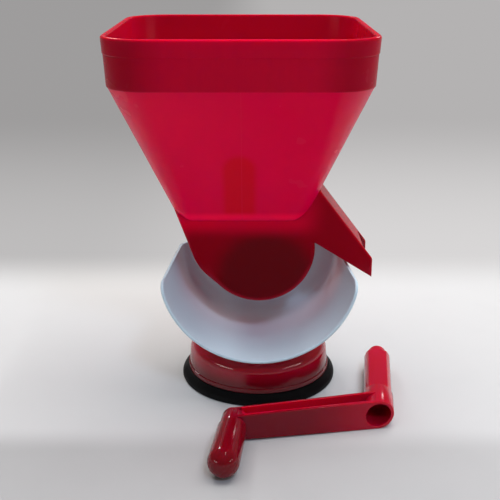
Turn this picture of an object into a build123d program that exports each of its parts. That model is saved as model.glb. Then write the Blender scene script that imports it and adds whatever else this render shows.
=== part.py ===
from build123d import *
import math
import os

# Hand-cranked drum grater, millimetres. The origin is on the table under the middle of the
# foot, +Z is up, and the flat housing front faces -Y. The crank is off and lies in front.

# Shared clearances
running_gap = 0.05            # radial play of a shaft in its bearing
screw_gap = 0.05              # radial play round a screw shank
face_gap = 0.3                # space between faces that slide past each other
cut_past = 1.0                # how far a cutter reaches past the face that it opens

# Drum housing
axis_z = 106.5                # height of the drum axis over the table
housing_radius = 40.2         # outside of the round bottom
housing_depth = 44.0          # front face to back face
housing_wall = 2.5
cover_thickness = 2.5
bottom_edge_round = 4.0       # front edge along the left wall and the round bottom
spout_edge_round = 1.6        # front edge of the spout
flank_angle = 228.0           # where the slanted left flank leaves the round bottom
flank_corner_round = 36.0
left_wall_angle = 20.0        # lean of the left wall from the upright
left_wall_step = 0.4          # the housing wall stands this far inside the funnel wall
lip_angle = 7.2               # where the spout floor leaves the round bottom

# Spout
spout_tip_x = 81.4            # far end of the cheeks
spout_floor_angle = 32.0      # below the horizontal
spout_roof_angle = 52.7
spout_end_height = 14.0       # upright end of the cheeks
spout_nose_round = 4.0
spout_floor_end_x = 67.0      # the floor stops short, so the mouth opens downwards
spout_roof_end_x = 74.5
roof_groove = 2.0             # radius of the groove between roof and funnel

# Hopper
hopper_x = -12.1              # the hopper stands left of the drum axis
seam_rise = 22.1              # the hopper sits on the housing this far above the axis
funnel_height = 100.9
collar_height = 31.5
rim_band = 6.0                # prouder band along the rim
rim_band_proud = 0.5
rim_half_x = 86.9
rim_half_y = 88.6
rim_corner = 30.0
collar_draft = 1.8            # how far the collar draws in from rim to lower edge
collar_ledge = 0.6            # step from the collar in to the funnel
funnel_bottom_half_x = 45.7
funnel_bottom_corner = 11.0
hopper_wall = 2.5
rim_round = 0.9

# Drum
drum_gap = 1.4                # from the tooth tips to the inside of the housing
drum_sheet = 1.0
drum_end_gap = 1.4            # from the drum's ends to the inside of the housing
tooth_height = 1.7
tooth_base = 3.4
tooth_tip = 0.5
tooth_bite = 0.5              # depth that a tooth stands in the sheet
tooth_rows = 7
teeth_round = 22
disc_thickness = 2.0
core_radius = 13.0
front_trunnion_radius = 9.5
front_trunnion_length = 6.5
front_boss_wall = 2.5
washer_radius = 18.0

# Crank drive, shared by the crank's shaft and the socket in the drum
drive_radius = 9.8
drive_half_flat = 7.3         # from the axis to each of the two flats
drive_length = 50.0
nose_length = 10.0
nose_radius = 6.9
nose_chamfer = 2.5
drive_gap = 0.25

# Bearing and stand
bush_wall = 2.0
bush_flange = 3.0
bush_flange_radius = 19.0
sleeve_wall = 3.0
sleeve_length = 13.0          # from the cover's back to the stand's upright
pillar_radius = 4.2
pillar_circle = 24.5
pillar_count = 4
upright_margin = 2.5
tray_front_y = -57.0
tray_front_radius = 69.4
tray_back_radius = 59.8
tray_bottom_z = 33.5
tray_rim_z = 93.5
tray_wall = 3.2
tray_back_round = 12.0
tray_corner_round = 10.0
foot_ring_radius = 32.0
foot_ring_wall = 3.0
foot_boss_radius = 4.5
foot_boss_x = 20.0
foot_boss_y = 18.0

# Screws
screw_radius = 1.5
screw_head_radius = 3.0
screw_head_height = 2.0
screw_bevel = 0.6
screw_length = 10.0
foot_screw_length = 7.0
ear_radius = 4.0
ear_length = 12.0
ear_angles = (248.0, 292.0)
spout_ear_x = 54.0
spout_ear_sink = 2.3          # how far this ear stands in the spout floor

# Foot
cap_radius = 53.3
cap_bottom_z = 8.0
cap_top_z = 33.0
cap_band = 3.5
cap_band_step = 0.8
cap_draft = 1.4
cap_shoulder = 12.0
cap_wall = 3.0
ring_radius = 58.0
ring_edge_height = 3.8
ring_round = 1.5
ring_inner_radius = 46.0
pad_radius = 30.0             # flat middle that lies on the table while the lock is open
pad_relief = 0.8
diaphragm_top_z = 5.0

# Suction lock
cam_z = 17.0
cam_shaft_radius = 5.0
cam_throw = 2.0
cam_pin_radius = 2.5
cam_slot_gap = 0.55
plunger_radius = 8.0
plunger_foot_radius = 15.0
plunger_foot_height = 3.0
plunger_top_z = 25.5
guide_wall = 2.5
web_y = 20.0
web_thickness = 6.0
web_half_width = 9.0
clip_thickness = 1.2
clip_radius = 7.5
clip_groove_depth = 1.0
clip_mouth_share = 0.8        # the clip's mouth, as a share of the groove's width
seat_radius = 8.5
lever_hub_radius = 8.0
lever_thickness = 6.5
lever_length = 42.0
lever_tip_radius = 5.5
lever_square = 6.6
lever_screw_length = 12.0

# Crank, in its own frame: shaft along +Y, arm towards -X
crank_x = 81.0
crank_y = -88.2
crank_turn = 6.8              # how far the shaft is turned on the table
hub_radius = 10.6
hub_length = 26.0
hub_bore_radius = 8.5
hub_bore_depth = 23.0
shank_length = 11.0           # flatted length between the hub and the drum
crank_reach = 96.4
arm_slant = 17.1
arm_hub_depth = 16.0
arm_end_depth = 13.5
arm_wall = 2.4
arm_web = 2.6
eye_radius = 9.0
eye_stand = 0.8               # how far the eye stands in front of the arm
grip_start_radius = 8.7
grip_end_radius = 10.1
grip_length = 48.5
grip_edge_round = 1.4
grip_pin_radius = 4.0
grip_pin_length = 40.0
grip_pin_head_radius = 5.5
grip_pin_head_height = 4.0
rivet_radius = 6.0
rivet_height = 1.4

# Places worked out from the sizes above
seam_z = axis_z + seam_rise
collar_bottom_z = seam_z + funnel_height
rim_z = collar_bottom_z + collar_height
front_y = -housing_depth / 2
back_y = housing_depth / 2
cover_y = back_y - cover_thickness
cavity_front_y = front_y + housing_wall
bore_radius = housing_radius - housing_wall
drum_radius = bore_radius - drum_gap - tooth_height
drum_front_y = cavity_front_y + drum_end_gap
drum_back_y = cover_y - drum_end_gap
upright_y = back_y + sleeve_length
tray_back_y = upright_y + tray_wall
bush_end_y = tray_back_y + bush_flange
bush_outer_radius = core_radius + running_gap + bush_wall
sleeve_radius = bush_outer_radius + sleeve_wall
upright_radius = pillar_circle + pillar_radius + upright_margin
cap_ceiling_z = cap_top_z - cap_wall
guide_bottom_z = cam_z + cam_shaft_radius + 2 * face_gap
lever_seat_y = cap_radius + face_gap
lever_y = lever_seat_y + face_gap
crank_axis_z = hub_radius
eye_front = -crank_reach * math.tan(math.radians(arm_slant))
eye_back = eye_front + arm_end_depth


def rod_y(radius, y_from, y_to, x=0.0, z=0.0):
    """Round bar along Y."""
    length = y_to - y_from
    return Pos(x, (y_from + y_to) / 2, z) * Rot(90, 0, 0) * Cylinder(radius, length)


def tube_y(outer, inner, y_from, y_to, x=0.0, z=0.0):
    """Round tube along Y."""
    bore = rod_y(inner, y_from - cut_past, y_to + cut_past, x, z)
    return rod_y(outer, y_from, y_to, x, z) - bore


def slab_y(sketch, y_from, y_to):
    """Flat XZ outline given a thickness along Y."""
    return extrude(Plane.XZ.offset(-y_to) * sketch, amount=y_to - y_from)


def on_circle(radius, angle):
    """Point of the XZ plane on a circle about the drum axis."""
    turn = math.radians(angle)
    return (radius * math.cos(turn), axis_z + radius * math.sin(turn))


# Outline of housing and cover

def left_wall_x(z):
    """Outside of the housing's left wall at a height."""
    top = hopper_x - funnel_bottom_half_x + left_wall_step
    return top + (seam_z - z) * math.tan(math.radians(left_wall_angle))


def spout_floor_z(x):
    """Underside of the spout floor at a distance from the axis."""
    start = on_circle(housing_radius, lip_angle)
    return start[1] - (x - start[0]) * math.tan(math.radians(spout_floor_angle))


def spout_roof_z(x):
    """Outside of the spout roof at a distance from the axis."""
    end_z = spout_floor_z(spout_tip_x) + spout_end_height
    return end_z + (spout_tip_x - x) * math.tan(math.radians(spout_roof_angle))


def flank_corner():
    """Where the left wall meets the flank that runs on to the round bottom."""
    touch = on_circle(housing_radius, flank_angle)
    turn = math.radians(flank_angle)
    along = (math.sin(turn), -math.cos(turn))
    lean = math.tan(math.radians(left_wall_angle))
    reach = (left_wall_x(touch[1]) - touch[0]) / (along[0] + along[1] * lean)
    return (touch[0] + reach * along[0], touch[1] + reach * along[1])


def housing_outline():
    """Front view of the housing, closed along a line inside the funnel."""
    top_z = seam_z + housing_depth
    roof_run = (top_z - spout_roof_z(spout_tip_x)) / math.tan(math.radians(spout_roof_angle))
    top_left = (left_wall_x(top_z), top_z)
    top_right = (spout_tip_x - roof_run, top_z)
    corner = flank_corner()
    touch = on_circle(housing_radius, flank_angle)
    bottom = on_circle(housing_radius, 270)
    lip = on_circle(housing_radius, lip_angle)
    tip = (spout_tip_x, spout_floor_z(spout_tip_x))
    nose = (spout_tip_x, spout_roof_z(spout_tip_x))
    edges = [
        Line(top_left, corner),
        Line(corner, touch),
        ThreePointArc(touch, bottom, lip),
        Line(lip, tip),
        Line(tip, nose),
        Line(nose, top_right),
        Line(top_right, top_left),
    ]
    face = make_face(edges)
    face = fillet(face.vertices().sort_by_distance((*corner, 0))[0], flank_corner_round)
    return fillet(face.vertices().sort_by_distance((*nose, 0))[0], spout_nose_round)


def spout_mouth():
    """Front view of the space between the cheeks that floor and roof leave open."""
    drop = housing_wall / math.cos(math.radians(spout_roof_angle))
    far_x = spout_tip_x + spout_end_height
    low_z = spout_floor_z(far_x) - spout_end_height
    corners = [
        (spout_floor_end_x, low_z),
        (far_x, low_z),
        (far_x, spout_roof_z(spout_floor_end_x)),
        (spout_roof_end_x, spout_roof_z(spout_floor_end_x)),
        (spout_roof_end_x, spout_roof_z(spout_roof_end_x) - drop),
        (spout_floor_end_x, spout_roof_z(spout_floor_end_x) - drop),
    ]
    return make_face(Polyline(*corners, close=True))


def roof_groove_cut():
    """Cutter for the groove where the outside of the roof reaches the funnel."""
    low, high = funnel_sizes(seam_z)[0], funnel_sizes(collar_bottom_z)[0]
    slope = (high - low) / (collar_bottom_z - seam_z)
    roof = math.tan(math.radians(spout_roof_angle))
    seam_right = hopper_x + low
    x = (seam_right + slope * (spout_roof_z(0) - seam_z)) / (1 + slope * roof)
    return rod_y(roof_groove, front_y - cut_past, back_y + cut_past, x, spout_roof_z(x))


# Hopper

def rounded_section(half_x, half_y, corner, z):
    """Level rounded rectangle about the hopper's centre line."""
    return Plane.XY.offset(z) * Pos(hopper_x, 0) * RectangleRounded(2 * half_x, 2 * half_y, corner)


def funnel_sizes(z):
    """Half sizes and corner radius of the funnel's outside at a height."""
    top_x = rim_half_x - collar_draft - collar_ledge
    top_y = rim_half_y - collar_draft - collar_ledge
    top_corner = rim_corner - collar_draft - collar_ledge
    share = (z - seam_z) / (collar_bottom_z - seam_z)
    half_x = funnel_bottom_half_x + share * (top_x - funnel_bottom_half_x)
    half_y = back_y + share * (top_y - back_y)
    corner = funnel_bottom_corner + share * (top_corner - funnel_bottom_corner)
    return half_x, half_y, corner


def funnel_block(inset_x, inset_y, z_from, z_to):
    """Solid funnel, drawn in by a wall on each side."""
    sections = []
    for z in (z_from, z_to):
        half_x, half_y, corner = funnel_sizes(z)
        inner_corner = corner - min(inset_x, inset_y)
        sections.append(rounded_section(half_x - inset_x, half_y - inset_y, inner_corner, z))
    return loft(sections, ruled=True)


def collar_block(inset, z_from, z_to):
    """Solid collar with its slight draft."""
    sections = []
    for z in (z_from, z_to):
        draft = collar_draft * (rim_z - z) / (rim_z - collar_bottom_z) + inset
        sections.append(rounded_section(rim_half_x - draft, rim_half_y - draft, rim_corner - draft, z))
    return loft(sections, ruled=True)


def hopper():
    """Open collar and funnel in one moulding, cut round over the drum."""
    sizes_low = funnel_sizes(seam_z)
    sizes_high = funnel_sizes(collar_bottom_z)
    rise = collar_bottom_z - seam_z
    wall_x = hopper_wall * math.hypot(1, (sizes_high[0] - sizes_low[0]) / rise)
    wall_y = hopper_wall * math.hypot(1, (sizes_high[1] - sizes_low[1]) / rise)
    collar = collar_block(0, collar_bottom_z, rim_z - rim_band)
    band = collar_block(-rim_band_proud, rim_z - rim_band, rim_z)
    band = fillet(band.edges().group_by(Axis.Z)[-1], rim_round)
    outside = funnel_block(0, 0, seam_z, collar_bottom_z) + collar + band
    funnel_inside = funnel_block(wall_x, wall_y, seam_z - cut_past, collar_bottom_z)
    inset = hopper_wall + collar_ledge
    collar_inside = collar_block(inset, collar_bottom_z, rim_z + cut_past)
    drum_room = rod_y(bore_radius, cavity_front_y, cover_y, z=axis_z)
    return outside - funnel_inside - collar_inside - drum_room


def funnel_seat():
    """Outside of the funnel, to trim what stands against it."""
    return funnel_block(0, 0, seam_z, collar_bottom_z)


# Housing and cover

def ear_places():
    """Axes of the bosses for the cover screws."""
    places = [on_circle(housing_radius + ear_radius - face_gap, angle) for angle in ear_angles]
    slope = math.radians(spout_floor_angle)
    away = ear_radius - spout_ear_sink
    ear_x = spout_ear_x - away * math.sin(slope)
    places.append((ear_x, spout_floor_z(spout_ear_x) - away * math.cos(slope)))
    return places


def drum_housing():
    """Front plate, round bottom and spout, open at the back."""
    outline = housing_outline()
    blank = slab_y(outline, front_y, cover_y)
    lip_x = on_circle(housing_radius, lip_angle)[0]
    hidden_z = seam_z + housing_depth / 2
    front = blank.faces().sort_by(Axis.Y)[0].edges().filter_by(lambda edge: edge.center().Z < hidden_z)
    body = fillet(front.filter_by(lambda edge: edge.center().X < lip_x), bottom_edge_round)
    body &= fillet(front.filter_by(lambda edge: edge.center().X > lip_x), spout_edge_round)
    for x, z in ear_places():
        body += rod_y(ear_radius, cover_y - ear_length, cover_y, x, z)
    inside = offset(outline, -housing_wall)
    body -= slab_y(inside, cavity_front_y, cover_y + cut_past)
    body -= slab_y(spout_mouth(), cavity_front_y, cover_y + cut_past)
    boss_bore = front_trunnion_radius + running_gap
    boss_end = cavity_front_y + front_trunnion_length
    body += tube_y(boss_bore + front_boss_wall, boss_bore, cavity_front_y, boss_end, z=axis_z)
    for x, z in ear_places():
        body -= rod_y(screw_radius + screw_gap, cover_y - screw_length, cover_y + cut_past, x, z)
    return body - funnel_seat() - roof_groove_cut()


def pillar_places():
    """Axes of the pillars round the bearing sleeve."""
    spread = 360 / pillar_count
    return [on_circle(pillar_circle, spread * (index + 0.5)) for index in range(pillar_count)]


def back_cover():
    """Rear plate with the bearing sleeve and the pillars for the stand."""
    body = slab_y(housing_outline(), cover_y, back_y)
    for x, z in ear_places():
        body += rod_y(ear_radius, cover_y, back_y, x, z)
    body += rod_y(sleeve_radius, cover_y, upright_y, z=axis_z)
    for x, z in pillar_places():
        body += rod_y(pillar_radius, cover_y, upright_y, x, z)
    body -= rod_y(bush_outer_radius, cover_y - cut_past, upright_y + cut_past, z=axis_z)
    for x, z in ear_places():
        body -= rod_y(screw_radius + screw_gap, cover_y - cut_past, back_y + cut_past, x, z)
    pilot_end = tray_back_y - screw_length
    for x, z in pillar_places():
        body -= rod_y(screw_radius + screw_gap, pilot_end, upright_y + cut_past, x, z)
    return body - funnel_seat() - roof_groove_cut()


def screw_y(x, z, head_y, length):
    """Pan-head screw along Y, head towards +Y, with a slot."""
    end_y = head_y + screw_head_height
    screw = chamfer(rod_y(screw_head_radius, head_y, end_y, x, z).edges().sort_by(Axis.Y)[-1], screw_bevel)
    screw += rod_y(screw_radius, head_y - length, head_y, x, z)
    slot = Box(2 * screw_head_radius, screw_head_height, screw_radius / 2)
    return screw - Pos(x, end_y, z) * slot


def cover_screws():
    """Three screws, cover to housing."""
    return [screw_y(x, z, back_y, screw_length) for x, z in ear_places()]


# Drum

def bearing_bush():
    """Flanged bush through sleeve and upright."""
    body = rod_y(bush_outer_radius, cover_y, bush_end_y, z=axis_z)
    body += rod_y(bush_flange_radius, tray_back_y, bush_end_y, z=axis_z)
    body = fillet(body.edges().sort_by(Axis.Y)[-1], bush_flange / 3)
    return body - rod_y(core_radius + running_gap, cover_y - cut_past, bush_end_y + cut_past, z=axis_z)


def thrust_washer():
    """Flat washer on the cover's inside, round the drum's rear trunnion."""
    return tube_y(washer_radius, core_radius + face_gap, drum_back_y + face_gap, cover_y, z=axis_z)


def drive_bar(clearance, y_from, y_to, nose_to):
    """Two-flatted bar with a round nose towards -Y, about the Y axis."""
    radius = drive_radius + clearance
    tip_radius = nose_radius + clearance
    bar = rod_y(radius, y_from, y_to)
    cone = Cone(radius, tip_radius, nose_chamfer)
    bar += Pos(0, y_from - nose_chamfer / 2, 0) * Rot(90, 0, 0) * cone
    flats = Box(3 * radius, 2 * (y_to - y_from), 2 * (drive_half_flat + clearance))
    bar &= Pos(0, y_from, 0) * flats
    return bar + rod_y(tip_radius, nose_to, y_from)


def drum_core():
    """Moulded drum with its trunnions and the socket for the crank, solid inside."""
    shoulder_y = cavity_front_y + front_trunnion_length + face_gap
    front_end = cavity_front_y + face_gap
    body = rod_y(drum_radius - drum_sheet, drum_front_y + disc_thickness, drum_back_y - disc_thickness)
    body += rod_y(core_radius, shoulder_y, bush_end_y)
    body -= rod_y(core_radius, drum_front_y, shoulder_y)
    body += rod_y(front_trunnion_radius, front_end, shoulder_y)
    nose_start = bush_end_y - drive_length
    socket = drive_bar(drive_gap, nose_start, bush_end_y + cut_past, front_end - cut_past)
    return Pos(0, 0, axis_z) * (body - socket)


def drum_disc(y_from):
    """Flat ring that closes one end of the drum."""
    return tube_y(drum_radius - drum_sheet, core_radius, y_from, y_from + disc_thickness, z=axis_z)


def drum_shell():
    """Steel sheet with staggered rows of rasp teeth."""
    shell = tube_y(drum_radius, drum_radius - drum_sheet, drum_front_y, drum_back_y)
    rise = tooth_height + tooth_bite
    far = tooth_base - tooth_tip
    middle = tooth_base / 2
    tooth = Wedge(
        tooth_base, rise, tooth_base, far, middle - tooth_tip, tooth_base, middle + tooth_tip,
        align=(Align.CENTER, Align.MIN, Align.CENTER),
    )
    tooth = Rot(90, 0, 0) * tooth
    pitch = (drum_back_y - drum_front_y) / tooth_rows
    teeth = []
    for row in range(tooth_rows):
        y = drum_front_y + (row + 0.5) * pitch
        for step in range(teeth_round):
            angle = 360 / teeth_round * (step + row / 2)
            teeth.append(Rot(0, angle, 0) * Pos(0, y, drum_radius - tooth_bite) * tooth)
    return Pos(0, 0, axis_z) * (shell + teeth)


# Stand

def tray_radius(y):
    """Outside radius of the scoop at a depth."""
    share = (y - tray_front_y) / (tray_back_y - tray_front_y)
    return tray_front_radius + share * (tray_back_radius - tray_front_radius)


def scoop_section(y, inset, top_z):
    """Round-bottomed section of the scoop at a depth."""
    radius = tray_radius(y)
    disc = Pos(0, tray_bottom_z + radius) * Circle(radius - inset)
    above = Pos(0, top_z + radius) * Rectangle(4 * radius, 2 * radius)
    return Plane.XZ.offset(-y) * (disc - above)


def scoop_block(inset, y_from, y_to, top_z, back_round):
    """Solid scoop with its back edge rounded."""
    body = loft([scoop_section(y_from, inset, top_z), scoop_section(y_to, inset, top_z)], ruled=True)
    back_face = body.faces().sort_by(Axis.Y)[-1]
    return fillet(back_face.edges().sort_by(Axis.Z)[0], back_round)


def stand_tray():
    """Scoop with the upright that carries the bearing, on a ring foot."""
    outer = scoop_block(0, tray_front_y, tray_back_y, tray_rim_z, tray_back_round)
    inner_top = tray_rim_z + cut_past
    inner = scoop_block(
        tray_wall, tray_front_y - cut_past, upright_y, inner_top, tray_back_round - tray_wall,
    )
    corner_y = tray_front_y + tray_corner_round
    corner_z = tray_rim_z - tray_corner_round
    square = Pos(corner_y, corner_z) * Rectangle(
        2 * tray_corner_round, 2 * tray_corner_round,
    )
    keep = Pos(corner_y, corner_z) * Circle(tray_corner_round)
    low = Pos(corner_y, corner_z - tray_corner_round) * Rectangle(
        4 * tray_corner_round, 2 * tray_corner_round,
    )
    rear = Pos(corner_y + tray_corner_round, corner_z) * Rectangle(
        2 * tray_corner_round, 4 * tray_corner_round,
    )
    corner_cut = extrude(Plane.YZ * (square - keep - low - rear), amount=2 * tray_front_radius, both=True)
    ring = Cylinder(foot_ring_radius, tray_rim_z, align=(Align.CENTER, Align.CENTER, Align.MIN))
    ring -= Cylinder(
        foot_ring_radius - foot_ring_wall, tray_rim_z, align=(Align.CENTER, Align.CENTER, Align.MIN),
    )
    for x, y in foot_places():
        ring += Pos(x, y, 0) * Cylinder(
            foot_boss_radius, tray_rim_z, align=(Align.CENTER, Align.CENTER, Align.MIN),
        )
    foot = Pos(0, 0, cap_top_z) * ring - outer
    foot = foot & Pos(0, 0, cap_top_z) * Box(
        4 * foot_ring_radius, 4 * foot_ring_radius, tray_front_radius,
        align=(Align.CENTER, Align.CENTER, Align.MIN),
    )
    upright = Pos(0, axis_z) * Circle(upright_radius)
    stem_height = axis_z - tray_bottom_z - tray_back_radius / 2
    upright += Pos(0, axis_z - stem_height / 2) * Rectangle(2 * upright_radius, stem_height)
    body = outer - inner - corner_cut
    body += lowest_solid(foot)
    body += slab_y(upright, upright_y, tray_back_y)
    body -= rod_y(bush_outer_radius, upright_y - cut_past, tray_back_y + cut_past, z=axis_z)
    for x, z in pillar_places():
        body -= rod_y(screw_radius + screw_gap, upright_y - cut_past, tray_back_y + cut_past, x, z)
    for x, y in foot_places():
        body -= Pos(x, y, cap_ceiling_z) * Cylinder(
            screw_radius + screw_gap, foot_screw_length, align=(Align.CENTER, Align.CENTER, Align.MIN),
        )
    return body


def lowest_solid(shape):
    """Solids of a shape that lie under the scoop."""
    low = [solid for solid in shape.solids() if solid.center().Z < tray_rim_z - tray_front_radius / 2]
    return Part() + low


def foot_places():
    """Axes of the screws between foot and stand."""
    return [(sx * foot_boss_x, sy * foot_boss_y) for sx in (-1, 1) for sy in (-1, 1)]


def stand_screws():
    """Four screws, stand to cover."""
    return [screw_y(x, z, tray_back_y, screw_length) for x, z in pillar_places()]


def foot_screws():
    """Four screws, foot to stand, heads inside the foot."""
    upright = screw_y(0, 0, 0, foot_screw_length)
    turned = Rot(-90, 0, 0) * upright
    return [Pos(x, y, cap_ceiling_z) * turned for x, y in foot_places()]


# Foot and suction lock

def base_cap():
    """Round red foot with the lock's bearings inside."""
    side_low = cap_radius - cap_band_step
    side_high = side_low - cap_draft
    band_z = cap_bottom_z + cap_band
    inner_low = cap_radius - cap_wall
    inner_high = side_high - cap_wall
    points = [
        (0, cap_top_z),
        (side_high, cap_top_z),
        (side_low, band_z),
        (cap_radius, band_z),
        (cap_radius, cap_bottom_z),
        (inner_low, cap_bottom_z),
        (inner_high, cap_ceiling_z),
        (0, cap_ceiling_z),
    ]
    profile = make_face(Polyline(*points, close=True))
    profile = fillet(profile.vertices().sort_by_distance((side_high, cap_top_z, 0))[0], cap_shoulder)
    inner_corner = profile.vertices().sort_by_distance((inner_high, cap_ceiling_z, 0))[0]
    profile = fillet(inner_corner, cap_shoulder - cap_wall)
    body = revolve(Plane.XZ * profile, Axis.Z)
    guide_height = cap_ceiling_z - guide_bottom_z
    guide = Cylinder(plunger_radius + running_gap + guide_wall, guide_height)
    body += Pos(0, 0, cap_ceiling_z - guide_height / 2) * guide
    web_height = cap_ceiling_z - cam_z + cam_shaft_radius + guide_wall
    web = Box(2 * web_half_width, web_thickness, web_height)
    body += Pos(0, web_y + web_thickness / 2, cap_ceiling_z - web_height / 2) * web
    body += rod_y(seat_radius, cap_radius - 3 * cap_wall, lever_seat_y, z=cam_z)
    body -= rod_y(cam_shaft_radius + running_gap, web_y - cut_past, lever_seat_y + cut_past, z=cam_z)
    guide_room = Cylinder(plunger_radius + running_gap, guide_height + cut_past)
    body -= Pos(0, 0, cap_ceiling_z - (guide_height + cut_past) / 2) * guide_room
    for x, y in foot_places():
        body -= Pos(x, y, cap_top_z) * Cylinder(screw_radius + screw_gap, 2 * cap_wall + cut_past)
    return body


def suction_cup():
    """Rubber ring and diaphragm in one piece."""
    cap_inner = cap_radius - cap_wall
    points = [
        (0, 0),
        (pad_radius, 0),
        (pad_radius + pad_relief, pad_relief),
        (ring_inner_radius - pad_relief, pad_relief),
        (ring_inner_radius, 0),
        (ring_radius, 0),
        (ring_radius, ring_edge_height),
        (cap_radius + cap_band_step, cap_bottom_z),
        (cap_inner - cap_wall, cap_bottom_z),
        (cap_inner - cap_wall, diaphragm_top_z),
        (0, diaphragm_top_z),
    ]
    profile = make_face(Polyline(*points, close=True))
    for corner in ((ring_radius, 0), (ring_radius, ring_edge_height)):
        profile = fillet(profile.vertices().sort_by_distance((*corner, 0))[0], ring_round)
    return revolve(Plane.XZ * profile, Axis.Z)


def plunger():
    """Stem on the diaphragm with a window for the cam pin."""
    stem_height = plunger_top_z - diaphragm_top_z
    base = (Align.CENTER, Align.CENTER, Align.MIN)
    body = Pos(0, 0, diaphragm_top_z) * Cylinder(plunger_radius, stem_height, align=base)
    body += Pos(0, 0, diaphragm_top_z) * Cylinder(plunger_foot_radius, plunger_foot_height, align=base)
    body = chamfer(body.edges().group_by(Axis.Z)[-1], face_gap * 2)
    half = cam_pin_radius + cam_slot_gap
    window = Box(2 * (cam_throw + half), 4 * plunger_radius, 2 * half)
    return body - Pos(0, 0, cam_z - cam_throw) * window


def cam_shaft():
    """Lever shaft with the offset pin that lifts the plunger."""
    inner_end = plunger_radius + 2 * cut_past
    clip_y = web_y - clip_thickness - face_gap
    body = rod_y(cam_shaft_radius, inner_end, lever_y, z=cam_z)
    groove = cam_shaft_radius - clip_groove_depth
    body -= tube_y(cam_shaft_radius + cut_past, groove, clip_y, clip_y + clip_thickness, z=cam_z)
    body += rod_y(cam_pin_radius, -plunger_radius, inner_end, z=cam_z - cam_throw)
    square = Box(lever_square, lever_thickness, lever_square)
    body += Pos(0, lever_y + lever_thickness / 2, cam_z) * square
    screw_from = lever_y + lever_thickness - lever_screw_length
    return body - rod_y(screw_radius + screw_gap, screw_from, lever_y + 2 * lever_thickness, z=cam_z)


def cam_clip():
    """Open ring in the shaft's groove, inside the web."""
    clip_y = web_y - clip_thickness - face_gap
    groove = cam_shaft_radius - clip_groove_depth
    ring = tube_y(clip_radius, groove, clip_y, clip_y + clip_thickness, z=cam_z)
    mouth = Box(2 * groove * clip_mouth_share, clip_thickness + cut_past, 2 * clip_radius)
    return ring - Pos(0, clip_y + clip_thickness / 2, cam_z - clip_radius) * mouth


def suction_lever():
    """Flat lever on the back of the foot, at rest towards -X."""
    hub = Circle(lever_hub_radius)
    tip = Pos(lever_tip_radius - lever_length, 0) * Circle(lever_tip_radius)
    outline = make_hull([*hub.edges(), *tip.edges()])
    body = slab_y(Pos(0, cam_z) * outline, lever_y, lever_y + lever_thickness)
    body = fillet(body.faces().sort_by(Axis.Y)[-1].edges(), lever_thickness / 4)
    hole = Box(lever_square, 2 * lever_thickness, lever_square)
    return body - Pos(0, lever_y + lever_thickness / 2, cam_z) * hole


def lever_screw():
    """Screw and washer head that hold the lever on its shaft."""
    end_y = lever_y + lever_thickness
    head = rod_y(lever_square, end_y, end_y + screw_head_height, z=cam_z)
    head = fillet(head.edges().sort_by(Axis.Y)[-1], screw_head_height / 3)
    return head + rod_y(screw_radius, end_y - lever_screw_length, end_y, z=cam_z)


# Crank

def on_table(shape):
    """Puts a piece of the crank where it lies."""
    return Pos(crank_x, crank_y, crank_axis_z) * Rot(0, 0, -crank_turn) * shape


def arm_front(x):
    """Front face of the slanted arm at a distance from the hub."""
    return x * math.tan(math.radians(arm_slant))


def arm_section(x, wall, low, high):
    """Upright section across the arm, drawn in by a wall at front and back."""
    share = -x / crank_reach
    depth = arm_hub_depth + share * (arm_end_depth - arm_hub_depth) - 2 * wall
    middle = arm_front(x) + wall + depth / 2
    plane = Plane(origin=(x, middle, (low + high) / 2), x_dir=(0, 1, 0), z_dir=(-1, 0, 0))
    return plane * Rectangle(depth, high - low)


def arm_pocket(side):
    """Long pocket in the arm's upper or lower side; side is +1 or -1."""
    sections = []
    for x in (-hub_radius, eye_radius + arm_wall - crank_reach):
        edges = sorted((side * arm_web / 2, side * 2 * hub_radius))
        sections.append(arm_section(x, arm_wall, *edges))
    return loft(sections, ruled=True)


def crank_arm():
    """Slanted arm, hub and two-flatted shaft in one moulding."""
    front_cut = Rot(0, 0, arm_slant) * Pos(0, -hub_length, 0) * Box(
        4 * crank_reach, 2 * hub_length, 4 * hub_radius,
    )
    hub = rod_y(hub_radius, -hub_radius, hub_length) - front_cut
    hub_end = hub.edges().filter_by(GeomType.CIRCLE).sort_by(Axis.Y)[-1]
    hub = chamfer(hub_end, face_gap)
    arm = loft(
        [
            arm_section(0, 0, -hub_radius, hub_radius),
            arm_section(-crank_reach, 0, -eye_radius, eye_radius),
        ],
        ruled=True,
    )
    arm = arm - arm_pocket(1) - arm_pocket(-1)
    eye = rod_y(eye_radius, eye_front - eye_stand, eye_back, -crank_reach)
    nose_start = hub_length + shank_length + drive_length
    shaft = Rot(0, 0, 180) * drive_bar(0, -nose_start, -hub_length, -nose_start - nose_length)
    body = hub + arm + eye + shaft
    body -= rod_y(hub_bore_radius, -hub_length, hub_bore_depth)
    body -= rod_y(grip_pin_radius, eye_front - arm_end_depth, eye_back + cut_past, -crank_reach)
    body -= rod_y(rivet_radius + face_gap, eye_back, eye_back + arm_end_depth, -crank_reach)
    return on_table(body)


def grip_start():
    """Where the grip begins, just off the eye."""
    return eye_front - eye_stand - face_gap


def grip_pin():
    """Axle riveted in the eye, with a snap head inside the grip."""
    end = grip_start() - grip_pin_length
    body = rod_y(grip_pin_radius, end, eye_back, -crank_reach)
    body += rod_y(grip_pin_head_radius, end, end + grip_pin_head_height, -crank_reach)
    body += rod_y(rivet_radius, eye_back, eye_back + rivet_height, -crank_reach)
    body = fillet(body.edges().sort_by(Axis.Y)[-1], rivet_height / 2)
    return on_table(body)


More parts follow.
